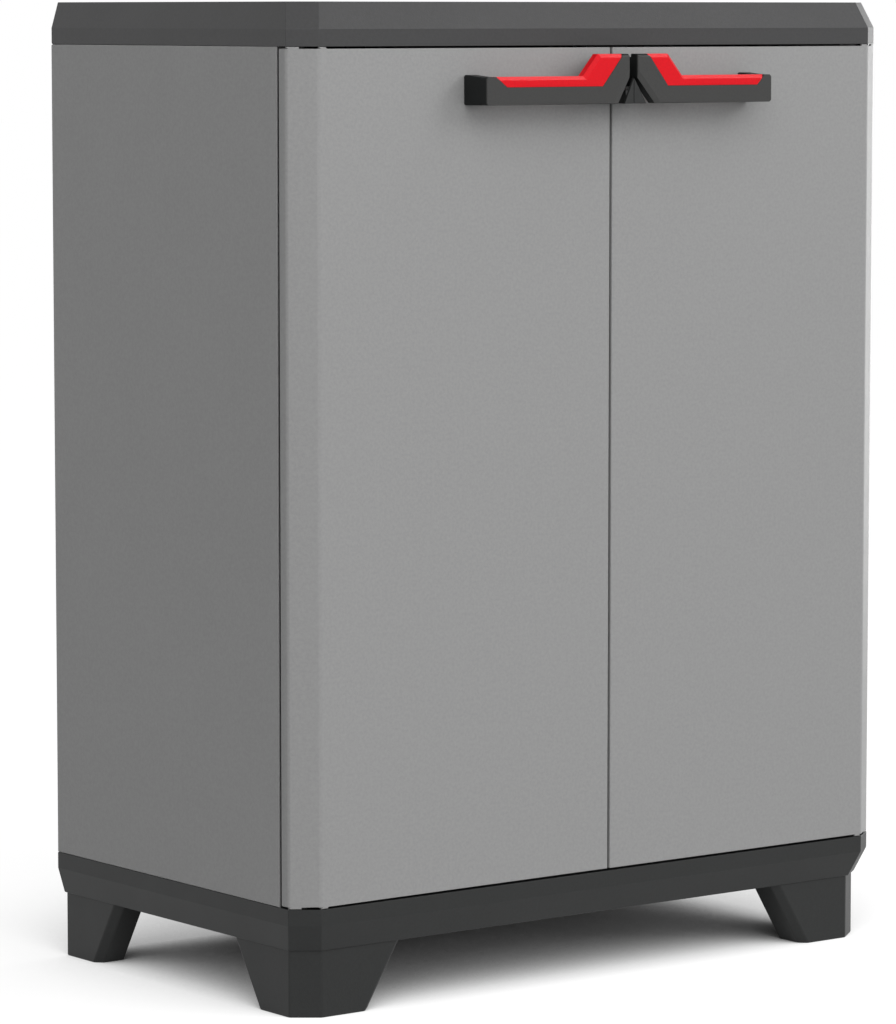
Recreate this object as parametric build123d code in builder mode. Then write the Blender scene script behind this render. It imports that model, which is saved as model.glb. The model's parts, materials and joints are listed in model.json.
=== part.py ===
from build123d import *
from math import hypot
import os

# Two-door resin workshop base cabinet on four feet, in millimetres.
# The origin is on the floor, under the centre of the outer box. +Z is up and -Y is the door side.

# Overall sizes
width = 680.0
depth = 390.0
foot_height = 60.0
base_height = 39.0
panel_height = 752.0
cap_height = 38.5

# Cut front corners, shared by the cap, the base, the doors and the front feet
corner_along_front = 23.0
corner_along_side = 17.5

# Moulded cap and base
rim_band = 15.0
cap_side_inset = 7.2
cap_front_inset = 10.0
base_side_inset = 7.2
base_front_inset = 10.0
moulded_wall = 3.5
moulded_plate = 4.0
moulded_rib = 2.5
rib_foot_gap = 2.0
screw_boss_roof = 2.0
tongue = 3.0
tongue_end_gap = 1.5
fit = 0.3

# Feet
foot_set_in = 1.5
foot_leg_width = 34.0
foot_end_cut = 7.0
foot_wall = 3.5
foot_floor = 4.0
front_leg_bottom = 85.5
front_leg_top = 122.0
side_leg_bottom = 80.0
side_leg_top = 118.0
back_foot_width = 29.5
back_foot_bottom = 53.5
back_foot_top = 89.5
foot_boss_radius = 8.0
foot_screw_bite = 18.0

# Side panels
panel_skin = 3.0
panel_depth = 26.0
panel_rib = 3.0
post_width = 24.0
post_from_edge = 45.0
cross_rib_depth = 12.0
cross_ribs = 4
peg_rows = 5
peg_pitch = 96.0
peg_radius = 4.0
peg_length = 11.0
peg_end_gap = 1.0

# Back
back_skin = 3.0
joiner_web = 3.0
joiner_flange = 12.0
joiner_wall = 2.0
wall_hole_radius = 3.5
wall_hole_spacing = 400.0
wall_hole_drop = 40.0
back_rib_depth = 6.0
back_ribs = 3

# Shelf and its supports
shelf_plate = 3.5
shelf_height = 22.0
shelf_wall = 3.0
shelf_side_gap = 2.0
shelf_front_gap = 22.0
shelf_back_gap = 6.0
shelf_ribs = 5
ledge_reach = 16.0
ledge_height = 14.0
ledge_above_peg = 6.0

# Doors and their pivots
door_wall = 3.5
door_depth = 16.0
door_rib_depth = 11.0
door_cross_ribs = 5
door_upright_ribs = 2
door_end_gap = 2.0
door_split_gap = 2.6
door_split_offset = 7.0
return_end = 28.0
return_gap = 3.0
corner_pad_length = 11.5
front_pad_length = 7.5
pad_depth = 2.5
pivot_in = 15.0
pivot_back = 16.0
swing_clearance = 1.2
pin_radius = 3.5
pin_seat_roof = 1.5
pin_reach = 25.0
pin_collar_radius = 5.0
pin_running_gap = 0.08
pin_seat_gap = 0.05
pin_boss_radius = 7.0
hinge_block_height = 30.0

# Handles
handle_projection = 33.4
handle_below_door_top = 5.6
handle_raised_height = 44.4
bar_height = 24.9
notch_height = 23.2
slope_start_reach = 57.2
slope_top_reach = 40.4
handle_corner_radius = 3.0
cover_thickness = 1.8
cover_drop = 1.4
cover_bevel_width = 5.0
cover_bevel_depth = 1.2
spine_thickness = 9.2
insert_height = 9.3
insert_depth = 10.5
insert_bevel = 3.2
leg_width = 12.0
leg_rise = 1.8
leg_corner_radius = 2.5
inner_leg_lift = 15.0
inner_leg_top_gap = 3.0
inner_screw_lift = 20.0
leg_shoulder = 1.0
handle_outer_reach = {"left": 167.0, "right": 161.3}
handle_inner_reach = {"left": 5.5, "right": 3.8}
slant_bottom_reach = {"left": 18.5, "right": 24.4}
insert_outer_reach = {"left": 157.0, "right": 153.7}
insert_outer_low_reach = {"left": 144.5, "right": 144.7}
insert_top_reach = {"left": 12.8, "right": 15.9}
insert_low_reach = {"left": 36.6, "right": 38.7}

# Padlock lugs between the handles
nose_reach = {"left": 10.6, "right": 14.6}
nose_set_back = 1.0
nose_thickness = 3.0
lug_gap = 0.3
ear_thickness = 7.2
ear_height = 12.0
lug_foot_reach = 17.0
lug_foot_thickness = 8.0
lug_screw_reach = 12.0
padlock_hole_radius = 3.5
padlock_hole_forward = 14.0

# Catch under the cap and its strikes
catch_half_width = 16.0
catch_depth = 18.0
catch_height = 22.0
catch_plate = 4.0
catch_plate_margin = 14.0
strike_thickness = 1.0
strike_pad_width = 13.0
strike_pad_height = 20.0
strike_margin = 1.0

# Screws
screw_radius = 2.0
screw_head_radius = 4.0
screw_head_height = 2.6
screw_hole_gap = 0.2
screw_pilot_gap = 0.05
screw_bite = 14.0
lug_screw_bite = 7.0
screw_boss_radius = 6.0
panel_screw_inset = 18.0
panel_screw_from_edge = 90.0

# Heights and faces worked out from the sizes above
side_face = width / 2
front_face = (handle_projection - depth) / 2
back_face = front_face + depth
base_top = foot_height + base_height
cap_bottom = base_top + panel_height
cap_top = cap_bottom + cap_height
door_bottom = base_top + door_end_gap
door_top = cap_bottom - door_end_gap
panel_front = front_face + return_end + return_gap
pivot_y = front_face + pivot_back
pivot_x = side_face - pivot_in
swing_radius = hypot(pivot_in, return_end - pivot_back)
front_rib_y = pivot_y + swing_radius + swing_clearance
inner_side = side_face - panel_depth
tongue_outer = side_face - moulded_wall - fit
tongue_inner = tongue_outer - tongue
tongue_ends = (front_rib_y, back_face - post_width)
back_rear = back_face - moulded_wall - fit
back_front = back_rear - back_skin
back_groove_floor = side_face - panel_skin - panel_rib
back_tongue_ends = (post_width, inner_side - post_width)
peg_rows_z = [base_top + panel_height / 2 + peg_pitch * (row - (peg_rows - 1) / 2) for row in range(peg_rows)]
post_centres = (front_rib_y + post_from_edge, back_front - post_from_edge)
shelf_peg_z = peg_rows_z[peg_rows // 2]
shelf_bottom = shelf_peg_z + ledge_above_peg
panel_screw_x = side_face - panel_screw_inset
panel_screw_y = (front_rib_y + panel_screw_from_edge, back_front - panel_screw_from_edge)
panel_screw_points = [(x, y) for x in (-panel_screw_x, panel_screw_x) for y in panel_screw_y]
handle_top = door_top - handle_below_door_top
bar_bottom = handle_top - handle_raised_height
bar_top = bar_bottom + bar_height
notch_top = bar_bottom + notch_height
insert_bottom = bar_top - insert_height
handle_front = front_face - handle_projection
spine_back = handle_front + cover_thickness + spine_thickness
strike_front = front_face + door_depth
catch_front = strike_front + strike_thickness + fit
door_inner_face = front_face + door_wall
tongue_height = rim_band - tongue_end_gap
pin_seat_depth = rim_band - pin_seat_roof

# How far the door's inner corner points slide along the front and the side for each millimetre of wall
corner_length = hypot(corner_along_front, corner_along_side)
front_slide = (corner_length - corner_along_front) / corner_along_side
side_slide = (corner_length - corner_along_side) / corner_along_front

sides = {"left": -1, "right": 1}
os.makedirs("parts", exist_ok=True)


def keep(piece, name):
    """Label a finished piece and write it to its own file."""
    piece.part.label = name
    export_step(piece.part, f"parts/{name}.step")


def front_plane(y):
    """An upright plane facing the door side, drawn on in X and Z."""
    return Plane(origin=(0, y, 0), x_dir=(1, 0, 0), z_dir=(0, -1, 0))


def face_on(plane, points):
    """A flat face through the given corner points."""
    with BuildSketch(plane) as drawn:
        with BuildLine():
            Polyline(*points, close=True)
        make_face()
    return drawn.sketch


def block(low, high, mode=Mode.ADD):
    """A box between two opposite corners."""
    centre = [(a + b) / 2 for a, b in zip(low, high)]
    size = [abs(b - a) for a, b in zip(low, high)]
    with Locations(tuple(centre)):
        Box(*size, mode=mode)


def rods(plane, points, radius, length, mode=Mode.ADD):
    """Round rods or holes of one size, standing on a plane."""
    with BuildSketch(plane) as rounds:
        with Locations(*points):
            Circle(radius)
    extrude(rounds.sketch, amount=length, mode=mode)


def plan(side_inset, front_inset, back_inset=0.0):
    """The cabinet's outline seen from above, drawn in at the sides and the front with the same corner cut."""
    side_x = side_face - side_inset
    side_y = front_face + corner_along_side + front_inset
    front_x = side_face - corner_along_front - side_inset
    front_y = front_face + front_inset
    back_y = back_face - back_inset
    return [
        (-side_x, back_y),
        (-side_x, side_y),
        (-front_x, front_y),
        (front_x, front_y),
        (side_x, side_y),
        (side_x, back_y),
    ]


def plan_face(z, side_inset, front_inset, back_inset=0.0):
    """The outline as a level face."""
    return face_on(Plane.XY.offset(z), plan(side_inset, front_inset, back_inset))


def foot_screw_points():
    """Where each foot is screwed to the base, as (X, Y) by foot name."""
    front_middle = foot_set_in + foot_leg_width / 2
    back_middle = foot_set_in + back_foot_width / 2
    front_x = side_face - base_side_inset - front_middle
    back_x = side_face - base_side_inset - back_middle
    front_y = front_face + base_front_inset + front_middle
    back_y = back_face - back_middle
    return {
        "front_left": (-front_x, front_y),
        "front_right": (front_x, front_y),
        "back_left": (-back_x, back_y),
        "back_right": (back_x, back_y),
    }


def pivot_points():
    """The two door pivots seen from above."""
    return [(-pivot_x, pivot_y), (pivot_x, pivot_y)]


def make_cap():
    """Hollow top with a plain rim band and a sloping front and sides."""
    band_top = cap_bottom + rim_band
    plate_bottom = cap_top - moulded_plate
    rib_x = side_face - cap_side_inset - moulded_wall
    rib_front = front_face + cap_front_inset + moulded_wall
    rib_back = back_face - moulded_wall
    rib_middle = (rib_front + rib_back) / 2
    catch_back = catch_front + catch_depth
    with BuildPart() as top_cap:
        extrude(plan_face(cap_bottom, 0, 0), amount=rim_band)
        loft([plan_face(band_top, 0, 0), plan_face(cap_top, cap_side_inset, cap_front_inset)], ruled=True)
        extrude(
            plan_face(cap_bottom, moulded_wall, moulded_wall, moulded_wall),
            amount=rim_band,
            mode=Mode.SUBTRACT,
        )
        loft(
            [
                plan_face(band_top, moulded_wall, moulded_wall, moulded_wall),
                plan_face(plate_bottom, cap_side_inset + moulded_wall, cap_front_inset + moulded_wall, moulded_wall),
            ],
            ruled=True,
            mode=Mode.SUBTRACT,
        )
        # Stiffening ribs under the top plate
        block((-rib_x, rib_middle - moulded_rib / 2, band_top), (rib_x, rib_middle + moulded_rib / 2, plate_bottom))
        for x in (-panel_screw_x / 2, panel_screw_x / 2):
            block((x - moulded_rib / 2, rib_front, band_top), (x + moulded_rib / 2, rib_back, plate_bottom))
        # Bosses for the panel screws and the door pivots
        rods(Plane.XY.offset(cap_bottom), panel_screw_points, screw_boss_radius, plate_bottom - cap_bottom)
        rods(Plane.XY.offset(cap_bottom), pivot_points(), pin_boss_radius, rim_band)
        # Plate that carries the catch
        half = catch_half_width + catch_plate_margin
        block(
            (door_split_offset - half, front_face + moulded_wall, cap_bottom),
            (door_split_offset + half, catch_back + catch_plate_margin, cap_bottom + catch_plate),
        )
        rods(
            Plane.XY.offset(cap_bottom),
            panel_screw_points,
            screw_radius + screw_pilot_gap,
            screw_bite,
            Mode.SUBTRACT,
        )
        rods(Plane.XY.offset(cap_bottom), pivot_points(), pin_radius + pin_seat_gap, pin_seat_depth, Mode.SUBTRACT)
    keep(top_cap, "top_cap")


def make_base():
    """Hollow base with a plain rim band, tapering in towards the feet."""
    band_bottom = base_top - rim_band
    plate_bottom = base_top - moulded_plate
    rib_bottom = foot_height + rib_foot_gap
    rib_x = side_face - base_side_inset - moulded_wall
    rib_front = front_face + base_front_inset + moulded_wall
    rib_back = back_front - fit
    rib_middle = (rib_front + rib_back) / 2
    screw_boss = screw_bite + screw_boss_roof
    foot_points = list(foot_screw_points().values())
    with BuildPart() as base_frame:
        loft([plan_face(foot_height, base_side_inset, base_front_inset), plan_face(band_bottom, 0, 0)], ruled=True)
        extrude(plan_face(band_bottom, 0, 0), amount=rim_band)
        loft(
            [
                plan_face(
                    foot_height,
                    base_side_inset + moulded_wall,
                    base_front_inset + moulded_wall,
                    moulded_wall,
                ),
                plan_face(band_bottom, moulded_wall, moulded_wall, moulded_wall),
            ],
            ruled=True,
            mode=Mode.SUBTRACT,
        )
        extrude(
            plan_face(band_bottom, moulded_wall, moulded_wall, moulded_wall),
            amount=rim_band - moulded_plate,
            mode=Mode.SUBTRACT,
        )
        # Stiffening ribs under the floor plate
        block((-rib_x, rib_middle - moulded_rib / 2, rib_bottom), (rib_x, rib_middle + moulded_rib / 2, plate_bottom))
        for x in (-panel_screw_x / 2, panel_screw_x / 2):
            block((x - moulded_rib / 2, rib_front, rib_bottom), (x + moulded_rib / 2, rib_back, plate_bottom))
        # Bosses for the feet, the panel screws and the door pivots
        rods(Plane.XY.offset(foot_height), foot_points, foot_boss_radius, base_height - moulded_plate)
        rods(Plane.XY.offset(base_top - screw_boss), panel_screw_points, screw_boss_radius, screw_boss)
        rods(Plane.XY.offset(band_bottom), pivot_points(), pin_boss_radius, rim_band)
        rods(
            Plane.XY.offset(foot_height),
            foot_points,
            screw_radius + screw_pilot_gap,
            foot_screw_bite,
            Mode.SUBTRACT,
        )
        rods(
            Plane.XY.offset(base_top),
            panel_screw_points,
            screw_radius + screw_pilot_gap,
            -screw_bite,
            Mode.SUBTRACT,
        )
        rods(Plane.XY.offset(base_top), pivot_points(), pin_radius + pin_seat_gap, -pin_seat_depth, Mode.SUBTRACT)
        # Slots for the tongues of the side and back panels
        for side in sides.values():
            block(
                (side * (tongue_inner - fit), tongue_ends[0] - fit, plate_bottom),
                (side * (tongue_outer + fit), tongue_ends[1] + fit, base_top),
                Mode.SUBTRACT,
            )
            block(
                (side * (back_tongue_ends[0] - fit), back_front - fit, plate_bottom),
                (side * (back_tongue_ends[1] + fit), back_rear + fit, base_top),
                Mode.SUBTRACT,
            )
    keep(base_frame, "base_frame")


def front_foot_outline(side, share, wall):
    """L-shaped plan of a front foot, following the cut corner."""
    side_inset = base_side_inset + foot_set_in + wall
    front_inset = base_front_inset + foot_set_in + wall
    side_inner = base_side_inset + foot_set_in + foot_leg_width - wall
    front_inner = base_front_inset + foot_set_in + foot_leg_width - wall
    front_end = front_leg_bottom + (front_leg_top - front_leg_bottom) * share - wall
    side_end = side_leg_bottom + (side_leg_top - side_leg_bottom) * share - wall
    cut = foot_end_cut
    corner = [
        (side_inset, corner_along_side + front_inset),
        (corner_along_front + side_inset, front_inset),
        (front_end - cut, front_inset),
        (front_end, front_inset + cut),
        (front_end, front_inner),
        (side_inner, front_inner),
        (side_inner, side_end),
        (side_inset + cut, side_end),
        (side_inset, side_end - cut),
    ]
    return [(side * (side_face - across), front_face + back) for across, back in corner]


def back_foot_outline(side, share, wall):
    """Plan of a back foot, a block along the side with its front outer corner cut."""
    outer = base_side_inset + foot_set_in + wall
    inner = base_side_inset + foot_set_in + back_foot_width - wall
    back = foot_set_in + wall
    front_end = back_foot_bottom + (back_foot_top - back_foot_bottom) * share - wall
    cut = foot_end_cut
    corner = [
        (outer, back),
        (inner, back),
        (inner, front_end),
        (outer + cut, front_end),
        (outer, front_end - cut),
    ]
    return [(side * (side_face - across), back_face - forward) for across, forward in corner]


def foot_face(name, side, z, wall):
    """A level section through one foot."""
    outline = front_foot_outline if name.startswith("front") else back_foot_outline
    return face_on(Plane.XY.offset(z), outline(side, z / foot_height, wall))


def make_feet():
    """Four hollow feet, each with a tube for its screw."""
    for name, point in foot_screw_points().items():
        side = sides[name.split("_")[1]]
        with BuildPart() as foot:
            loft([foot_face(name, side, 0, 0), foot_face(name, side, foot_height, 0)], ruled=True)
            loft(
                [foot_face(name, side, foot_floor, foot_wall), foot_face(name, side, foot_height, foot_wall)],
                ruled=True,
                mode=Mode.SUBTRACT,
            )
            rods(Plane.XY, [point], foot_boss_radius, foot_height)
            rods(
                Plane.XY,
                [point],
                screw_head_radius + screw_hole_gap,
                foot_height - foot_floor,
                Mode.SUBTRACT,
            )
            rods(Plane.XY, [point], screw_radius + screw_hole_gap, foot_height, Mode.SUBTRACT)
        keep(foot, f"foot_{name}")


def make_side_panel(label, side):
    """Side wall with inner ribs, two peg posts and tongues at the top and bottom."""
    bevel = panel_skin / 2
    skin_inner = side_face - panel_skin
    skin_plan = [
        (side * side_face, panel_front),
        (side * (side_face - bevel), panel_front),
        (side * skin_inner, panel_front + bevel),
        (side * skin_inner, back_face),
        (side * side_face, back_face),
    ]
    rail_ends = (front_rib_y, back_front - fit)
    with BuildPart() as side_panel:
        extrude(face_on(Plane.XY.offset(base_top), skin_plan), amount=panel_height)
        block((side * skin_inner, front_rib_y, base_top), (side * inner_side, front_rib_y + panel_rib, cap_bottom))
        # Back edge, grooved for the back panel
        block((side * skin_inner, back_front - fit - panel_rib, base_top), (side * inner_side, back_face, cap_bottom))
        block(
            (side * back_groove_floor, back_front - fit, base_top),
            (side * inner_side, back_rear + fit, cap_bottom),
            Mode.SUBTRACT,
        )
        for centre in post_centres:
            block(
                (side * skin_inner, centre - post_width / 2, base_top),
                (side * inner_side, centre + post_width / 2, cap_bottom),
            )
        # Level ribs, then the top and bottom rails
        for row in range(cross_ribs):
            z = base_top + panel_height * (row + 1) / (cross_ribs + 1)
            block(
                (side * skin_inner, front_rib_y, z - moulded_rib / 2),
                (side * (skin_inner - cross_rib_depth), rail_ends[1], z + moulded_rib / 2),
            )
        for z in (base_top, cap_bottom - panel_rib):
            block((side * skin_inner, rail_ends[0], z), (side * inner_side, rail_ends[1], z + panel_rib))
        for low, high in ((base_top - tongue_height, base_top), (cap_bottom, cap_bottom + tongue_height)):
            block((side * tongue_inner, tongue_ends[0], low), (side * tongue_outer, tongue_ends[1], high))
        # Peg holes, open to the inside
        peg_points = [(y, z) for y in post_centres for z in peg_rows_z]
        rods(
            Plane.YZ.offset(side * inner_side),
            peg_points,
            peg_radius + screw_pilot_gap,
            side * (peg_length + peg_end_gap),
            Mode.SUBTRACT,
        )
        rail_holes = [(side * panel_screw_x, y) for y in panel_screw_y]
        rods(Plane.XY.offset(base_top), rail_holes, screw_radius + screw_hole_gap, panel_rib, Mode.SUBTRACT)
        rods(Plane.XY.offset(cap_bottom), rail_holes, screw_radius + screw_hole_gap, -panel_rib, Mode.SUBTRACT)
    keep(side_panel, f"side_panel_{label}")


def make_back_panel(label, side):
    """One half of the back, with tongues into the cap and the base."""
    inner_edge = joiner_web / 2 + fit
    outer_edge = back_groove_floor - fit
    rib_ends = (joiner_flange + fit, inner_side - fit)
    with BuildPart() as back_panel:
        block((side * inner_edge, back_front, base_top), (side * outer_edge, back_rear, cap_bottom))
        block(
            (side * back_tongue_ends[0], back_front, base_top - tongue_height),
            (side * back_tongue_ends[1], back_rear, cap_bottom + tongue_height),
        )
        for row in range(back_ribs):
            z = base_top + panel_height * (row + 1) / (back_ribs + 1)
            block(
                (side * rib_ends[0], back_front - back_rib_depth, z - moulded_rib / 2),
                (side * rib_ends[1], back_front, z + moulded_rib / 2),
            )
        rods(
            front_plane(back_rear),
            [(side * wall_hole_spacing / 2, cap_bottom - wall_hole_drop)],
            wall_hole_radius,
            back_skin,
            Mode.SUBTRACT,
        )
    keep(back_panel, f"back_panel_{label}")


def make_back_joiner():
    """Upright strip that grips the meeting edges of the two back halves."""
    front_wall = back_front - fit - joiner_wall
    rear_wall = back_rear + fit + joiner_wall
    with BuildPart() as back_joiner:
        block((-joiner_web / 2, front_wall, base_top), (joiner_web / 2, rear_wall, cap_bottom))
        block((-joiner_flange, front_wall, base_top), (joiner_flange, front_wall + joiner_wall, cap_bottom))
        block((-joiner_flange, rear_wall - joiner_wall, base_top), (joiner_flange, rear_wall, cap_bottom))
    keep(back_joiner, "back_joiner")


def make_shelf():
    """Shelf with a skirt all round and ribs underneath."""
    half = inner_side - shelf_side_gap
    front = front_rib_y + shelf_front_gap
    back = back_front - back_rib_depth - shelf_back_gap
    top = shelf_bottom + shelf_height
    with BuildPart() as shelf:
        block((-half, front, shelf_bottom), (half, back, top))
        block(
            (-half + shelf_wall, front + shelf_wall, shelf_bottom),
            (half - shelf_wall, back - shelf_wall, top - shelf_plate),
            Mode.SUBTRACT,
        )
        rib_bottom = shelf_bottom + ledge_above_peg
        for row in range(shelf_ribs):
            x = -half + 2 * half * (row + 1) / (shelf_ribs + 1)
            block(
                (x - moulded_rib / 2, front + shelf_wall, rib_bottom),
                (x + moulded_rib / 2, back - shelf_wall, top - shelf_plate),
            )
    keep(shelf, "shelf")


def make_shelf_supports():
    """Four pegged ledges that hold the shelf."""
    for label, side in sides.items():
        for place, y in zip(("front", "back"), post_centres):
            ledge_top = shelf_bottom
            with BuildPart() as support:
                block(
                    (side * inner_side, y - post_width / 2, ledge_top - ledge_height),
                    (side * (inner_side - ledge_reach), y + post_width / 2, ledge_top),
                )
                rods(Plane.YZ.offset(side * inner_side), [(y, shelf_peg_z)], peg_radius, side * peg_length)
            keep(support, f"shelf_support_{place}_{label}")


def make_hinge_pins():
    """Collared pivot pins: one pair in the base, one pair in the cap."""
    collar = door_end_gap - fit
    for label, side in sides.items():
        point = [(side * pivot_x, pivot_y)]
        with BuildPart() as lower_pin:
            rods(Plane.XY.offset(base_top - pin_seat_depth), point, pin_radius, pin_seat_depth + collar)
            rods(Plane.XY.offset(base_top), point, pin_collar_radius, collar)
            rods(Plane.XY.offset(base_top + collar), point, pin_radius, fit + pin_reach)
        keep(lower_pin, f"hinge_pin_lower_{label}")
        with BuildPart() as upper_pin:
            rods(Plane.XY.offset(cap_bottom - collar), point, pin_radius, collar + pin_seat_depth)
            rods(Plane.XY.offset(cap_bottom - collar), point, pin_collar_radius, collar)
            rods(Plane.XY.offset(cap_bottom - collar), point, pin_radius, -(fit + pin_reach))
        keep(upper_pin, f"hinge_pin_upper_{label}")


def make_catch():
    """Catch body that hangs from the cap behind the meeting edges of the doors."""
    with BuildPart() as door_catch:
        block(
            (door_split_offset - catch_half_width, catch_front, cap_bottom - catch_height),
            (door_split_offset + catch_half_width, catch_front + catch_depth, cap_bottom),
        )
    keep(door_catch, "door_catch")


def from_split(side, reach):
    """X of a point at a distance from the line where the doors meet."""
    return door_split_offset + side * reach


def slant_reach(label, z):
    """Where a handle's slanted inner end stands at a height below the notch top."""
    share = (notch_top - z) / notch_height
    inner = handle_inner_reach[label]
    return inner + (slant_bottom_reach[label] - inner) * share


def inner_leg_reach(label):
    """Inner edge of a handle's inner leg."""
    return slant_reach(label, bar_bottom + inner_leg_lift) + leg_shoulder


def handle_screw_points(label, side):
    """Where the handle and the padlock lug are screwed on, as (X, Z)."""
    outer = (from_split(side, handle_outer_reach[label] - leg_width / 2), bar_bottom + bar_height / 2)
    inner = (from_split(side, inner_leg_reach(label) + leg_width / 2), bar_bottom + inner_screw_lift)
    lug = (from_split(side, lug_screw_reach), bar_bottom + ear_height / 2)
    return [outer, inner, lug]


def corner_pads(side):
    """Plans of the two small pads that fill the gap at the cut corner, one each side of the fold."""
    along = (corner_along_front / corner_length, -corner_along_side / corner_length)
    inward = (corner_along_side / corner_length, corner_along_front / corner_length)
    start = (0.0, corner_along_side)
    end = (corner_pad_length * along[0], corner_along_side + corner_pad_length * along[1])
    on_corner = [
        start,
        end,
        (end[0] + pad_depth * inward[0], end[1] + pad_depth * inward[1]),
        (start[0] + pad_depth * inward[0], start[1] + pad_depth * inward[1]),
    ]
    on_front = [
        (corner_along_front, 0.0),
        (corner_along_front + front_pad_length, 0.0),
        (corner_along_front + front_pad_length, pad_depth),
        (corner_along_front + front_slide * pad_depth, pad_depth),
    ]
    return [
        [(side * (side_face - across), front_face + back) for across, back in outline]
        for outline in (on_corner, on_front)
    ]


def make_door(label, side):
    """Door panel that wraps round the cut corner, ribbed inside."""
    meeting_edge = from_split(side, door_split_gap / 2)
    height = door_top - door_bottom
    front_x = side_face - corner_along_front
    skin_plan = [
        (meeting_edge, front_face),
        (side * front_x, front_face),
        (side * side_face, front_face + corner_along_side),
        (side * side_face, front_face + return_end),
        (side * (side_face - door_wall), front_face + return_end),
        (side * (side_face - door_wall), front_face + corner_along_side + side_slide * door_wall),
        (side * (front_x - front_slide * door_wall), door_inner_face),
        (meeting_edge, door_inner_face),
    ]
    hinge_side = side * (front_x - front_slide * door_wall)
    rib_back = front_face + door_rib_depth
    flange_back = front_face + door_depth
    pad_edge = from_split(side, door_split_gap / 2 + strike_pad_width)
    with BuildPart() as door_panel:
        extrude(face_on(Plane.XY.offset(door_bottom), skin_plan), amount=height)
        for outline in corner_pads(side):
            extrude(face_on(Plane.XY.offset(door_bottom), outline), amount=fit - door_end_gap)
            extrude(face_on(Plane.XY.offset(door_top), outline), amount=door_end_gap - fit)
        # Flanges along the meeting edge, the top and the bottom
        block(
            (meeting_edge, door_inner_face, door_bottom),
            (meeting_edge + side * door_wall, flange_back, door_top),
        )
        for z in (door_bottom, door_top - door_wall):
            block((meeting_edge, door_inner_face, z), (hinge_side, flange_back, z + door_wall))
        for row in range(door_cross_ribs):
            z = door_bottom + height * (row + 1) / (door_cross_ribs + 1)
            block(
                (meeting_edge, door_inner_face, z - moulded_rib / 2),
                (hinge_side, rib_back, z + moulded_rib / 2),
            )
        for column in range(door_upright_ribs):
            x = meeting_edge + (hinge_side - meeting_edge) * (column + 1) / (door_upright_ribs + 1)
            block(
                (x - moulded_rib / 2, door_inner_face, door_bottom),
                (x + moulded_rib / 2, rib_back, door_top),
            )
        # Pad for the strike and blocks for the pivots
        block((meeting_edge, door_inner_face, door_top - strike_pad_height), (pad_edge, flange_back, door_top))
        pivot = [(side * pivot_x, pivot_y)]
        for z in (door_bottom, door_top - hinge_block_height):
            rods(Plane.XY.offset(z), pivot, pin_boss_radius, hinge_block_height)
        bore = pin_radius + pin_running_gap
        rods(Plane.XY.offset(door_bottom), pivot, bore, pin_reach + fit, Mode.SUBTRACT)
        rods(Plane.XY.offset(door_top), pivot, bore, -pin_reach - fit, Mode.SUBTRACT)
        rods(
            front_plane(door_inner_face),
            handle_screw_points(label, side),
            screw_radius + screw_hole_gap,
            door_wall,
            Mode.SUBTRACT,
        )
    keep(door_panel, f"door_panel_{label}")


def handle_outline(label, side):
    """The whole handle seen from the front, with its outer corners rounded."""
    inner = handle_inner_reach[label]
    points = [
        (handle_outer_reach[label], bar_bottom),
        (handle_outer_reach[label], bar_top),
        (slope_start_reach, bar_top),
        (slope_top_reach, handle_top),
        (inner, handle_top),
        (inner, notch_top),
        (slant_bottom_reach[label], bar_bottom),
    ]
    return [(from_split(side, reach), z) for reach, z in points]


def insert_outline(label, side):
    """The coloured insert along the handle's top edge, seen from the front."""
    points = [
        (insert_outer_reach[label], bar_top),
        (slope_start_reach, bar_top),
        (slope_top_reach, handle_top),
        (insert_top_reach[label], handle_top),
        (insert_low_reach[label], insert_bottom),
        (insert_outer_low_reach[label], insert_bottom),
    ]
    return [(from_split(side, reach), z) for reach, z in points]


def handle_face(label, side, y):
    """Front view of the handle without its insert."""
    with BuildSketch(front_plane(y)) as drawn:
        with BuildLine():
            Polyline(*handle_outline(label, side), close=True)
        make_face()
        outer_corners = drawn.vertices().group_by(Axis.X)[-1 if side > 0 else 0]
        fillet(outer_corners, radius=handle_corner_radius)
        with BuildLine():
            Polyline(*insert_outline(label, side), close=True)
        make_face(mode=Mode.SUBTRACT)
    return drawn.sketch


def outer_leg_face(x):
    """Side view of a handle's outer leg, a little higher where it meets the door."""
    with BuildSketch(Plane.YZ.offset(x)) as drawn:
        with BuildLine():
            Polyline(
                (spine_back, bar_bottom),
                (front_face, bar_bottom),
                (front_face, bar_top + leg_rise),
                (spine_back, bar_top),
                close=True,
            )
        make_face()
        fillet(drawn.vertices().group_by(Axis.X)[-1], radius=leg_corner_radius)
    return drawn.sketch


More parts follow.
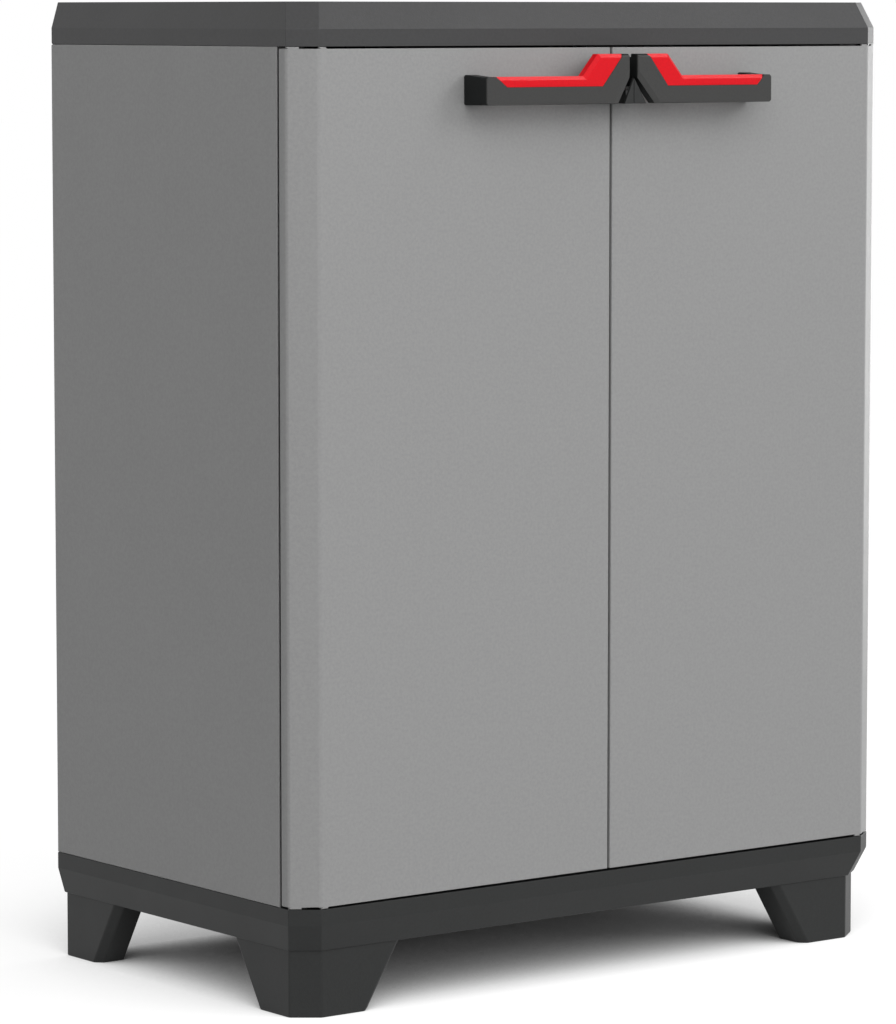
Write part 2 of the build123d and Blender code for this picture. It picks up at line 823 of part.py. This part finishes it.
def make_handle(label, side):
    """Handle base with two legs, its front cover and its coloured insert."""
    cover_back = handle_front + cover_thickness
    leg_inner = inner_leg_reach(label)
    with BuildPart() as handle_base:
        extrude(handle_face(label, side, cover_back), amount=-spine_thickness)
        extrude(outer_leg_face(from_split(side, handle_outer_reach[label])), amount=-side * leg_width)
        block(
            (from_split(side, leg_inner), spine_back, bar_bottom + inner_leg_lift),
            (from_split(side, leg_inner + leg_width), front_face, handle_top - inner_leg_top_gap),
        )
        rods(
            front_plane(front_face),
            handle_screw_points(label, side)[:2],
            screw_radius + screw_pilot_gap,
            screw_bite,
            Mode.SUBTRACT,
        )
    keep(handle_base, f"handle_base_{label}")
    with BuildPart() as handle_cover:
        extrude(handle_face(label, side, handle_front), amount=-cover_thickness)
        block(
            (from_split(side, handle_inner_reach[label]), handle_front, handle_top - cover_drop),
            (from_split(side, insert_low_reach[label]), cover_back, handle_top),
            Mode.SUBTRACT,
        )
        front = handle_cover.faces().sort_by(Axis.Y)[0]
        slant_middle = (notch_top + bar_bottom) / 2
        slant_place = (from_split(side, slant_reach(label, slant_middle)), handle_front, slant_middle)
        slanted_edge = front.edges().sort_by_distance(slant_place)[0]
        chamfer(slanted_edge, length=cover_bevel_width, length2=cover_bevel_depth, reference=front)
    keep(handle_cover, f"handle_cover_{label}")
    with BuildPart() as handle_insert:
        extrude(face_on(front_plane(handle_front), insert_outline(label, side)), amount=-insert_depth)
        front_edges = handle_insert.faces().sort_by(Axis.Y)[0].edges()
        chamfer(front_edges.filter_by(lambda edge: edge.bounding_box().min.Z > bar_top - fit), length=insert_bevel)
    keep(handle_insert, f"handle_insert_{label}")


def make_lock_lug(label, side):
    """Half of the padlock eye: a pointed nose, an ear with a hole and a foot on the door."""
    nose_front = handle_front + nose_set_back
    nose_outline = [
        (from_split(side, lug_gap / 2), bar_bottom),
        (from_split(side, nose_reach[label]), bar_bottom),
        (from_split(side, lug_gap / 2), notch_top),
    ]
    ear_end = lug_gap / 2 + ear_thickness
    with BuildPart() as lock_lug:
        extrude(face_on(front_plane(nose_front), nose_outline), amount=-nose_thickness)
        block(
            (from_split(side, lug_gap / 2), nose_front + nose_thickness, bar_bottom),
            (from_split(side, ear_end), front_face, bar_bottom + ear_height),
        )
        block(
            (from_split(side, lug_gap / 2), front_face - lug_foot_thickness, bar_bottom),
            (from_split(side, lug_foot_reach), front_face, bar_bottom + ear_height),
        )
        rods(
            Plane.YZ.offset(from_split(side, lug_gap / 2)),
            [(front_face - padlock_hole_forward, bar_bottom + ear_height / 2)],
            padlock_hole_radius,
            side * ear_thickness,
            Mode.SUBTRACT,
        )
        rods(
            front_plane(front_face),
            handle_screw_points(label, side)[2:],
            screw_radius + screw_pilot_gap,
            lug_screw_bite,
            Mode.SUBTRACT,
        )
    keep(lock_lug, f"lock_lug_{label}")


def make_handle_screws(label, side):
    """Screws through the door into the handle legs and the padlock lug."""
    handle_points = handle_screw_points(label, side)
    with BuildPart() as handle_screws:
        rods(front_plane(door_inner_face + screw_head_height), handle_points, screw_head_radius, screw_head_height)
        rods(front_plane(door_inner_face), handle_points[:2], screw_radius, door_wall + screw_bite - fit)
        rods(front_plane(door_inner_face), handle_points[2:], screw_radius, door_wall + lug_screw_bite - fit)
    keep(handle_screws, f"handle_screws_{label}")


def make_strike(label, side):
    """Steel strike on the door's inner edge, facing the catch."""
    inner = from_split(side, door_split_gap / 2 + strike_margin)
    outer = from_split(side, door_split_gap / 2 + strike_pad_width - strike_margin)
    with BuildPart() as catch_strike:
        block(
            (inner, strike_front, door_top - strike_pad_height + strike_margin),
            (outer, strike_front + strike_thickness, door_top - strike_margin),
        )
    keep(catch_strike, f"catch_strike_{label}")


def make_carcass_screws():
    """Screws that hold the side panels to the cap and the base."""
    top_seat = cap_bottom - panel_rib
    bottom_seat = base_top + panel_rib
    shank = panel_rib + screw_bite - fit
    with BuildPart() as carcass_screws:
        rods(Plane.XY.offset(top_seat), panel_screw_points, screw_head_radius, -screw_head_height)
        rods(Plane.XY.offset(top_seat), panel_screw_points, screw_radius, shank)
        rods(Plane.XY.offset(bottom_seat), panel_screw_points, screw_head_radius, screw_head_height)
        rods(Plane.XY.offset(bottom_seat), panel_screw_points, screw_radius, -shank)
    keep(carcass_screws, "carcass_screws")


def make_foot_screws():
    """Screws up through the feet into the base."""
    points = list(foot_screw_points().values())
    seat = foot_height - foot_floor
    with BuildPart() as foot_screws:
        rods(Plane.XY.offset(seat), points, screw_head_radius, -screw_head_height)
        rods(Plane.XY.offset(seat), points, screw_radius, foot_floor + foot_screw_bite - fit)
    keep(foot_screws, "foot_screws")


make_cap()
make_base()
make_feet()
make_back_joiner()
make_shelf()
make_shelf_supports()
make_hinge_pins()
make_catch()
make_carcass_screws()
make_foot_screws()
for label, side in sides.items():
    make_side_panel(label, side)
    make_back_panel(label, side)
    make_door(label, side)
    make_handle(label, side)
    make_lock_lug(label, side)
    make_handle_screws(label, side)
    make_strike(label, side)
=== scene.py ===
import json
import math

import bmesh
import bpy
from mathutils import Matrix, Vector


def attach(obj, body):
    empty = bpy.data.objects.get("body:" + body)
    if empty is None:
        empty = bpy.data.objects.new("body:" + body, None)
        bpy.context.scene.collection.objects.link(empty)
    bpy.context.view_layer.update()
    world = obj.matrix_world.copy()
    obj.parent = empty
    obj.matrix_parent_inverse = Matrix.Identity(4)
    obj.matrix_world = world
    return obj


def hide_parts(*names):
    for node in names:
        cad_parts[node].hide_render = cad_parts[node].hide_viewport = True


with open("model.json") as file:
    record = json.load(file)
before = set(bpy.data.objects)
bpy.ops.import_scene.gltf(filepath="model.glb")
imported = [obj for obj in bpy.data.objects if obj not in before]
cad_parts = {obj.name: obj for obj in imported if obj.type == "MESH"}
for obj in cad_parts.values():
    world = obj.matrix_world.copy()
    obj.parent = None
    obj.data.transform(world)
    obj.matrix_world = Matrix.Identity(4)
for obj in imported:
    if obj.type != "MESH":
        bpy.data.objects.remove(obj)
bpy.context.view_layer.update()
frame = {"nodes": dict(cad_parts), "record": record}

# Lengths are in metres and angles in degrees, and the camera's lens and sensor are in millimetres.

# Camera, found from the cabinet's edges in the photograph
camera_place = (-2.7591, -3.57235, 0.8792)
camera_turn = 37.255
camera_dip = 5.876
camera_lens = 170.29
camera_sensor = 36.0
camera_reach = 100.0

# Studio light: an even room that is bright on the door side only, a wide soft lamp in front on the left,
# a smaller one in front on the right, a high one that shows in the sloping top edges and a low one that
# catches the right-hand corner
room_white = (1.0, 1.0, 1.0, 1.0)
front_level = 0.93
back_level = 0.03
level_turn = 0.3
lamp_aim = Vector((0.0, -0.18, 0.6))
wide_lamp_place = Vector((-1.05, -2.5, 2.0))
wide_lamp_size = 3.0
wide_lamp_power = 32.0
front_lamp_place = Vector((1.8, -2.24, 2.1))
front_lamp_size = 1.0
front_lamp_power = 14.0
high_lamp_place = Vector((1.8, -0.5, 3.2))
high_lamp_size = 0.8
high_lamp_power = 10.0
low_lamp_place = Vector((2.95, 0.45, 0.75))
low_lamp_size = 1.5
low_lamp_power = 16.0

# Rays that see the floor and the room as white
seeing_rays = ("Is Camera Ray", "Is Glossy Ray", "Is Transmission Ray")

# Pale floor, shown white around the cabinet by a glow that the camera sees, and darker the less open it
# is to the
# door side, a painted shadow: the glow goes from none to full between the closed and the open share
floor_reach = 30.0
floor_bounce = (0.38, 0.38, 0.38, 1.0)
floor_shown = (0.25, 0.25, 0.25, 1.0)
floor_lift = 0.88
shade_way = (-0.2, -0.46, 0.865)
shade_reach = 0.6
closed_share = 0.16
open_share = 0.74

# Dyes of the plastics and colour of the plating
panel_colour = (0.31, 0.31, 0.31)
cap_colour = (0.037, 0.037, 0.038)
base_colour = (0.0165, 0.0175, 0.0173)
handle_colour = (0.0085, 0.0095, 0.0095)
cover_colour = (0.040, 0.040, 0.039)
insert_colour = (0.75, 0.006, 0.014)
zinc_colour = (0.55, 0.55, 0.57)

# Grain of the moulds as size and depth, and the mottling and uneven sheen that come with it
coarse_grain = (0.0011, 0.0003)
fine_grain = (0.0008, 0.0002)
insert_grain = (0.0009, 0.00015)
grain_strength = 0.35
mottle_per_grain = 2.5
sheen_size = 0.05
sheen_spread = 0.02

# Plating: darker blotches, uneven sheen and tool marks
zinc_dark_share = 0.85
zinc_blotch_size = 0.0012
zinc_sheen_size = 0.0006
zinc_roughness = (0.28, 0.42)
zinc_mark_size = 0.0005
zinc_mark_strength = 0.15
zinc_mark_depth = 0.0001

# Noise values at which a range of colours or values begins and ends
noise_low = 0.3
noise_high = 0.7

# How far the moulded edges are rounded, and the folds of the cut front corners
cap_round = 0.0016
cap_fold = 0.0005
base_round = 0.0008
foot_round = 0.0014
door_round = 0.0011
door_fold = 0.0026
panel_round = 0.0012
cover_round = 0.0015
insert_round = 0.0006
handle_round = 0.0008
lug_round = 0.0008
inner_round = 0.0007
fine_round = 0.0003

# Edges sharper than the round angle are rounded, and folds are those blunter than the blunt angle. Inner
# edges have to be sharper and longer than outer ones. The steps are the faces across a rounded edge.
round_angle = 25.0
blunt_angle = 60.0
inner_angle = 55.0
outer_shortest = 0.004
inner_shortest = 0.006
pin_shortest = 0.0002
fold_steps = 4
outer_steps = 3
inner_steps = 2

# Points this close are one, and faces this close in angle are one flat face
join_distance = 0.00001
flat_angle = 0.5

# Faces at least this broad look flat, and narrower ones blend with neighbours within this angle
broad_face = 0.0025
blend_angle = 50.0

# Cross-head screws
screw_head_radius = 0.004
screw_head_height = 0.0026
screw_rim = 0.0009
screw_rim_share = 0.3
screw_shank_radius = 0.002
screw_tip = 0.0015
screw_tip_share = 0.4
cross_reach = 0.0024
cross_half_width = 0.00045
cross_depth = 0.0014
cross_taper = 0.8
screw_steps = 24


def plain_nodes(name):
    """A new node material, with its tree and its surface shader."""
    material = bpy.data.materials.new(name)
    material.use_nodes = True
    tree = material.node_tree
    return material, tree, tree.nodes["Principled BSDF"]


def noise(tree, size, detail):
    """Noise whose blotches are about one size across, in object space."""
    place = tree.nodes.new("ShaderNodeTexCoord")
    texture = tree.nodes.new("ShaderNodeTexNoise")
    texture.inputs["Scale"].default_value = 1.0 / size
    texture.inputs["Detail"].default_value = detail
    tree.links.new(place.outputs["Object"], texture.inputs["Vector"])
    return texture.outputs["Fac"]


def shades(tree, factor, dark, light):
    """Colours that run from dark to light with the noise."""
    ramp = tree.nodes.new("ShaderNodeValToRGB")
    ramp.color_ramp.elements[0].position = noise_low
    ramp.color_ramp.elements[0].color = (*dark, 1.0)
    ramp.color_ramp.elements[1].position = noise_high
    ramp.color_ramp.elements[1].color = (*light, 1.0)
    tree.links.new(factor, ramp.inputs["Fac"])
    return ramp.outputs["Color"]


def spread(tree, factor, low, high):
    """Values that run from low to high with the noise."""
    span = tree.nodes.new("ShaderNodeMapRange")
    span.inputs["From Min"].default_value = noise_low
    span.inputs["From Max"].default_value = noise_high
    span.inputs["To Min"].default_value = low
    span.inputs["To Max"].default_value = high
    tree.links.new(factor, span.inputs["Value"])
    return span.outputs["Result"]


def bumps(tree, height, strength, depth):
    """Surface relief from the noise."""
    bump = tree.nodes.new("ShaderNodeBump")
    bump.inputs["Strength"].default_value = strength
    bump.inputs["Distance"].default_value = depth
    tree.links.new(height, bump.inputs["Height"])
    return bump.outputs["Normal"]


def moulded_plastic(name, colour, grain, mottle, roughness, specular):
    """Dyed plastic from a grained mould: fine relief, faint mottling, uneven sheen."""
    material, tree, shader = plain_nodes(name)
    grain_size, grain_depth = grain
    dark = [part * (1.0 - mottle) for part in colour]
    light = [part * (1.0 + mottle) for part in colour]
    mottling = noise(tree, grain_size * mottle_per_grain, detail=3.0)
    tree.links.new(shades(tree, mottling, dark, light), shader.inputs["Base Color"])
    clouds = noise(tree, sheen_size, detail=2.0)
    sheen = spread(tree, clouds, roughness - sheen_spread, roughness + sheen_spread)
    tree.links.new(sheen, shader.inputs["Roughness"])
    relief = noise(tree, grain_size, detail=2.0)
    tree.links.new(bumps(tree, relief, grain_strength, grain_depth), shader.inputs["Normal"])
    shader.inputs["Specular IOR Level"].default_value = specular
    return material


def zinc_steel(name, colour):
    """Plated steel with faint tool marks."""
    material, tree, shader = plain_nodes(name)
    dark = [part * zinc_dark_share for part in colour]
    blotches = noise(tree, zinc_blotch_size, detail=4.0)
    tree.links.new(shades(tree, blotches, dark, colour), shader.inputs["Base Color"])
    clouds = noise(tree, zinc_sheen_size, detail=3.0)
    tree.links.new(spread(tree, clouds, *zinc_roughness), shader.inputs["Roughness"])
    marks = noise(tree, zinc_mark_size, detail=2.0)
    tree.links.new(bumps(tree, marks, zinc_mark_strength, zinc_mark_depth), shader.inputs["Normal"])
    shader.inputs["Metallic"].default_value = 1.0
    return material


finishes = {
    "panel_plastic": moulded_plastic(
        "panel_grey", panel_colour, coarse_grain, mottle=0.05, roughness=0.45, specular=0.35
    ),
    "cap_plastic": moulded_plastic(
        "cap_dark_grey", cap_colour, coarse_grain, mottle=0.08, roughness=0.44, specular=0.4
    ),
    "base_plastic": moulded_plastic(
        "base_charcoal", base_colour, coarse_grain, mottle=0.1, roughness=0.5, specular=0.3
    ),
    "handle_plastic": moulded_plastic(
        "handle_black", handle_colour, fine_grain, mottle=0.12, roughness=0.5, specular=0.2
    ),
    "cover_plastic": moulded_plastic(
        "cover_dark_grey", cover_colour, fine_grain, mottle=0.08, roughness=0.48, specular=0.3
    ),
    "insert_plastic": moulded_plastic(
        "insert_red", insert_colour, insert_grain, mottle=0.04, roughness=0.32, specular=0.14
    ),
    "screw_steel": zinc_steel("screw_zinc", zinc_colour),
}
slot_of = {row["node"]: row["material_slot"] for row in frame["record"]["subparts"]}
body_of = {node: body for body, nodes in frame["record"]["behaviour"]["bodies"].items() for node in nodes}


def merged_copy(node):
    """The CAD node's surface as joined flat faces."""
    shape = bmesh.new()
    shape.from_mesh(frame["nodes"][node].data)
    bmesh.ops.remove_doubles(shape, verts=shape.verts, dist=join_distance)
    bmesh.ops.dissolve_limit(
        shape, angle_limit=math.radians(flat_angle), verts=shape.verts, edges=shape.edges
    )
    return shape


def outermost(shape):
    """Corner points of the shape's outer hull, by index."""
    shape.verts.index_update()
    hull = shape.copy()
    bmesh.ops.delete(hull, geom=hull.faces[:], context="FACES_ONLY")
    bmesh.ops.delete(hull, geom=hull.edges[:], context="EDGES_FACES")
    for corner, copied in zip(shape.verts, hull.verts):
        copied.index = corner.index
    skin = bmesh.ops.convex_hull(hull, input=hull.verts[:])["geom"]
    found = {part.index for part in skin if isinstance(part, bmesh.types.BMVert)}
    hull.free()
    return found


def sharp_edges(shape, shortest, angle, top=math.inf):
    """Outward corners below a top level that are long and sharp enough to be rounded."""
    return [
        edge
        for edge in shape.edges
        if edge.is_manifold
        and edge.is_convex
        and edge.calc_length() > shortest
        and edge.calc_face_angle() > math.radians(angle)
        and min(corner.co.z for corner in edge.verts) < top
    ]


def fold_edges(shape, shortest):
    """Blunt outward corners, which are those of the cut front corners."""
    blunt = math.radians(blunt_angle)
    return [edge for edge in sharp_edges(shape, shortest, round_angle) if edge.calc_face_angle() < blunt]


def round_edges(shape, edges, width, segments):
    """Round the given edges off."""
    bmesh.ops.bevel(
        shape,
        geom=edges,
        offset=width,
        offset_type="OFFSET",
        affect="EDGES",
        segments=segments,
        profile=0.5,
        material=-1,
        clamp_overlap=False,
    )


def is_broad(mesh, face):
    """Whether a face is broad enough across its longest edge to look flat."""
    points = [mesh.vertices[corner].co for corner in face.vertices]
    longest = max((end - start).length for start, end in zip(points, points[1:] + points[:1]))
    return face.area > broad_face * longest


def shade_corners(mesh):
    """Keep broad faces flat, with crisp folds, and let the narrow faces between them look round."""
    broad = [is_broad(mesh, face) for face in mesh.polygons]
    around = [[] for corner in mesh.vertices]
    for face in mesh.polygons:
        for corner in face.vertices:
            around[corner].append(face)
    blend_level = math.cos(math.radians(blend_angle))
    normals = []
    for face in mesh.polygons:
        for corner in face.vertices:
            near = [face]
            if not broad[face.index]:
                near = [other for other in around[corner] if other.normal.dot(face.normal) > blend_level]
                near = [other for other in near if broad[other.index]] or near
            normals.append(sum((other.area * other.normal for other in near), Vector()).normalized())
    mesh.normals_split_custom_set(normals)


def shown_piece(name, shape, body, slot):
    """A finished mesh that rides on a body, with its slot's finish."""
    for face in shape.faces:
        face.smooth = True
    mesh = bpy.data.meshes.new(name)
    shape.to_mesh(mesh)
    shape.free()
    shade_corners(mesh)
    piece = bpy.data.objects.new(name, mesh)
    bpy.context.scene.collection.objects.link(piece)
    mesh.materials.append(finishes[slot])
    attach(piece, body)
    return piece


def dress(
    node, width, small=inner_round, shortest=outer_shortest, fold=0.0, front_only=False, sharp_top=False
):
    """Stand a copy with rounded edges in the CAD node's place."""
    shape = merged_copy(node)
    if fold:
        round_edges(shape, fold_edges(shape, shortest), fold, fold_steps)
    outer = outermost(shape)
    front = min(corner.co.y for corner in shape.verts) if front_only else math.inf
    top = max(corner.co.z for corner in shape.verts) - fine_round if sharp_top else math.inf
    outer_edges = [
        edge
        for edge in sharp_edges(shape, shortest, round_angle, top)
        if all(corner.index in outer and corner.co.y < front + fine_round for corner in edge.verts)
    ]
    round_edges(shape, outer_edges, width, outer_steps)
    if small:
        round_edges(shape, sharp_edges(shape, inner_shortest, inner_angle, top), small, inner_steps)
    piece = shown_piece(node + "_moulded", shape, body_of[node], slot_of[node])
    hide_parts(node)


def solids_of(shape):
    """The corner points of each separate solid in a shape."""
    for corner in shape.verts:
        corner.tag = False
    groups = []
    for first in shape.verts:
        if first.tag:
            continue
        first.tag = True
        group = [first]
        for corner in group:
            for edge in corner.link_edges:
                other = edge.other_vert(corner)
                if not other.tag:
                    other.tag = True
                    group.append(other)
        groups.append([corner.co.copy() for corner in group])
    return groups


def screw_place(points):
    """The top of a CAD screw's head, the way the screw points and its length."""
    low = Vector([min(point[axis] for point in points) for axis in range(3)])
    high = Vector([max(point[axis] for point in points) for axis in range(3)])
    size = high - low
    axis = max(range(3), key=lambda index: size[index])
    middle = (low + high) / 2.0
    along = Vector((0.0, 0.0, 0.0))
    along[axis] = 1.0
    widest = max(points, key=lambda point: (point - middle - along * (point - middle).dot(along)).length)
    if widest[axis] > middle[axis]:
        along = -along
    return middle - along * (size[axis] / 2.0), along, size[axis]


def rim_edges(shape, ring):
    """The edges of a closed ring of points."""
    return [shape.edges.get((ring[step - 1], ring[step])) for step in range(len(ring))]


def cross_head_screw(shape, head, along, length):
    """A pan-head screw with a cross recess."""
    across = along.orthogonal().normalized()
    turn = Matrix((across, along.cross(across), along)).transposed()

    def at(x, y, depth):
        return shape.verts.new(head + turn @ Vector((x, y, depth)))

    def ring_at(radius, depth):
        angles = [2.0 * math.pi * step / screw_steps for step in range(screw_steps)]
        return [at(radius * math.cos(angle), radius * math.sin(angle), depth) for angle in angles]

    profile = [
        (screw_head_radius - screw_rim, 0.0),
        (screw_head_radius - screw_rim_share * screw_rim, screw_rim_share * screw_rim),
        (screw_head_radius, screw_rim),
        (screw_head_radius, screw_head_height),
        (screw_shank_radius, screw_head_height),
        (screw_shank_radius, length - screw_tip),
        (screw_tip_share * screw_shank_radius, length),
    ]
    rings = [ring_at(radius, depth) for radius, depth in profile]
    for ring, following in zip(rings, rings[1:]):
        for step in range(screw_steps):
            shape.faces.new((ring[step - 1], ring[step], following[step], following[step - 1]))
    shape.faces.new(rings[-1])
    half = cross_half_width
    arm = [(cross_reach, -half), (cross_reach, half), (half, half)]
    turns = [(1, 0), (0, 1), (-1, 0), (0, -1)]
    corners = [(cosine * x - sine * y, sine * x + cosine * y) for cosine, sine in turns for x, y in arm]
    mouth = [at(x, y, 0.0) for x, y in corners]
    bottom = [at(cross_taper * x, cross_taper * y, cross_depth) for x, y in corners]
    for step in range(len(corners)):
        shape.faces.new((mouth[step - 1], mouth[step], bottom[step], bottom[step - 1]))
    shape.faces.new(bottom)
    loops = rim_edges(shape, rings[0]) + rim_edges(shape, mouth)
    bmesh.ops.triangle_fill(shape, use_beauty=True, edges=loops)


def dress_screws(node):
    """Stand cross-head screws in the place of the CAD node's plain ones."""
    plain = merged_copy(node)
    groups = solids_of(plain)
    plain.free()
    shape = bmesh.new()
    for points in groups:
        cross_head_screw(shape, *screw_place(points))
    bmesh.ops.recalc_face_normals(shape, faces=shape.faces)
    piece = shown_piece(node + "_cross_head", shape, body_of[node], slot_of[node])
    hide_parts(node)


def seeing_ray(tree):
    """One where a ray is of any of the seeing kinds, and zero elsewhere."""
    rays = tree.nodes.new("ShaderNodeLightPath")
    found = rays.outputs[seeing_rays[0]]
    for kind in seeing_rays[1:]:
        larger = tree.nodes.new("ShaderNodeMath")
        larger.operation = "MAXIMUM"
        tree.links.new(found, larger.inputs[0])
        tree.links.new(rays.outputs[kind], larger.inputs[1])
        found = larger.outputs["Value"]
    return found


def floor_finish():
    """Grey floor that glows white in the open, with a painted shadow where the glow dims under and beside
    the cabinet.
    """
    material, tree, shader = plain_nodes("pale_floor")
    tree.nodes.remove(shader)
    bounced = tree.nodes.new("ShaderNodeBsdfDiffuse")
    bounced.inputs["Color"].default_value = floor_bounce
    shown = tree.nodes.new("ShaderNodeBsdfDiffuse")
    shown.inputs["Color"].default_value = floor_shown
    # The glow's strength follows how open the floor is: a painted shadow under and beside the cabinet
    openness = tree.nodes.new("ShaderNodeAmbientOcclusion")
    openness.inputs["Distance"].default_value = shade_reach
    way = tree.nodes.new("ShaderNodeNormal")
    way.outputs["Normal"].default_value = shade_way
    lift = tree.nodes.new("ShaderNodeMapRange")
    lift.inputs["From Min"].default_value = closed_share
    lift.inputs["From Max"].default_value = open_share
    lift.inputs["To Max"].default_value = floor_lift
    glow = tree.nodes.new("ShaderNodeEmission")
    lifted = tree.nodes.new("ShaderNodeAddShader")
    choice = tree.nodes.new("ShaderNodeMixShader")
    tree.links.new(way.outputs["Normal"], openness.inputs["Normal"])
    tree.links.new(openness.outputs["AO"], lift.inputs["Value"])
    tree.links.new(lift.outputs["Result"], glow.inputs["Strength"])
    tree.links.new(shown.outputs["BSDF"], lifted.inputs[0])
    tree.links.new(glow.outputs["Emission"], lifted.inputs[1])
    tree.links.new(seeing_ray(tree), choice.inputs["Fac"])
    tree.links.new(bounced.outputs["BSDF"], choice.inputs[1])
    tree.links.new(lifted.outputs["Shader"], choice.inputs[2])
    tree.links.new(choice.outputs["Shader"], tree.nodes["Material Output"].inputs["Surface"])
    return material


def pale_floor():
    """Pale floor with the cabinet's shadow, partly cast and partly painted by its dimming glow, that
    fades into the white room.
    """
    shape = bmesh.new()
    bmesh.ops.create_grid(shape, x_segments=1, y_segments=1, size=floor_reach)
    mesh = bpy.data.meshes.new("floor")
    shape.to_mesh(mesh)
    shape.free()
    floor = bpy.data.objects.new("floor", mesh)
    bpy.context.scene.collection.objects.link(floor)
    mesh.materials.append(floor_finish())


def white_room():
    """Room light from the door side mostly, which shows white to the camera and in reflections."""
    world = bpy.data.worlds.new("white_room")
    bpy.context.scene.world = world
    world.use_nodes = True
    tree = world.node_tree
    level = tree.nodes["Background"]
    level.inputs["Color"].default_value = room_white
    white = tree.nodes.new("ShaderNodeBackground")
    white.inputs["Color"].default_value = room_white
    white.inputs["Strength"].default_value = 1.0
    place = tree.nodes.new("ShaderNodeTexCoord")
    parts = tree.nodes.new("ShaderNodeSeparateXYZ")
    span = tree.nodes.new("ShaderNodeMapRange")
    span.inputs["From Min"].default_value = -level_turn
    span.inputs["From Max"].default_value = level_turn
    span.inputs["To Min"].default_value = front_level
    span.inputs["To Max"].default_value = back_level
    choice = tree.nodes.new("ShaderNodeMixShader")
    tree.links.new(place.outputs["Generated"], parts.inputs["Vector"])
    tree.links.new(parts.outputs["Y"], span.inputs["Value"])
    tree.links.new(span.outputs["Result"], level.inputs["Strength"])
    tree.links.new(seeing_ray(tree), choice.inputs["Fac"])
    tree.links.new(level.outputs["Background"], choice.inputs[1])
    tree.links.new(white.outputs["Background"], choice.inputs[2])
    tree.links.new(choice.outputs["Shader"], tree.nodes["World Output"].inputs["Surface"])


def soft_lamp(name, place, size, power):
    """A soft lamp that faces the doors."""
    light = bpy.data.lights.new(name, "AREA")
    light.size = size
    light.energy = power
    lamp = bpy.data.objects.new(name, light)
    bpy.context.scene.collection.objects.link(lamp)
    lamp.location = place
    lamp.rotation_euler = (lamp_aim - place).to_track_quat("-Z", "Y").to_euler()


def photo_camera():
    """The camera at the photograph's viewpoint."""
    view = bpy.data.cameras.new("photo_camera")
    view.lens = camera_lens
    view.sensor_width = camera_sensor
    view.clip_end = camera_reach
    camera = bpy.data.objects.new("photo_camera", view)
    bpy.context.scene.collection.objects.link(camera)
    camera.location = camera_place
    camera.rotation_euler = (math.radians(90.0 - camera_dip), 0.0, math.radians(-camera_turn))
    bpy.context.scene.camera = camera


for node, solid in frame["nodes"].items():
    solid.data.materials.clear()
    solid.data.materials.append(finishes[slot_of[node]])

dress("top_cap", cap_round, fold=cap_fold)
dress("base_frame", base_round)
for corner in ("front_left", "front_right", "back_left", "back_right"):
    dress("foot_" + corner, foot_round, sharp_top=True)
for side in ("left", "right"):
    dress("side_panel_" + side, panel_round)
    dress("back_panel_" + side, inner_round)
    dress("door_panel_" + side, door_round, fold=door_fold)
    dress("handle_base_" + side, handle_round)
    dress("handle_cover_" + side, cover_round, small=0.0, front_only=True)
    dress("handle_insert_" + side, insert_round)
    dress("lock_lug_" + side, lug_round)
    dress_screws("handle_screws_" + side)
    dress("catch_strike_" + side, fine_round, small=0.0)
    for place in ("front", "back"):
        dress("shelf_support_" + place + "_" + side, inner_round)
    for place in ("lower", "upper"):
        dress("hinge_pin_" + place + "_" + side, fine_round, small=0.0, shortest=pin_shortest)
dress("shelf", inner_round)
dress("back_joiner", inner_round)
dress("door_catch", inner_round)
dress_screws("carcass_screws")
dress_screws("foot_screws")

pale_floor()
white_room()
soft_lamp("wide_lamp", wide_lamp_place, wide_lamp_size, wide_lamp_power)
soft_lamp("front_lamp", front_lamp_place, front_lamp_size, front_lamp_power)
soft_lamp("high_lamp", high_lamp_place, high_lamp_size, high_lamp_power)
soft_lamp("low_lamp", low_lamp_place, low_lamp_size, low_lamp_power)
photo_camera()
bpy.context.scene.view_settings.view_transform = "Standard"
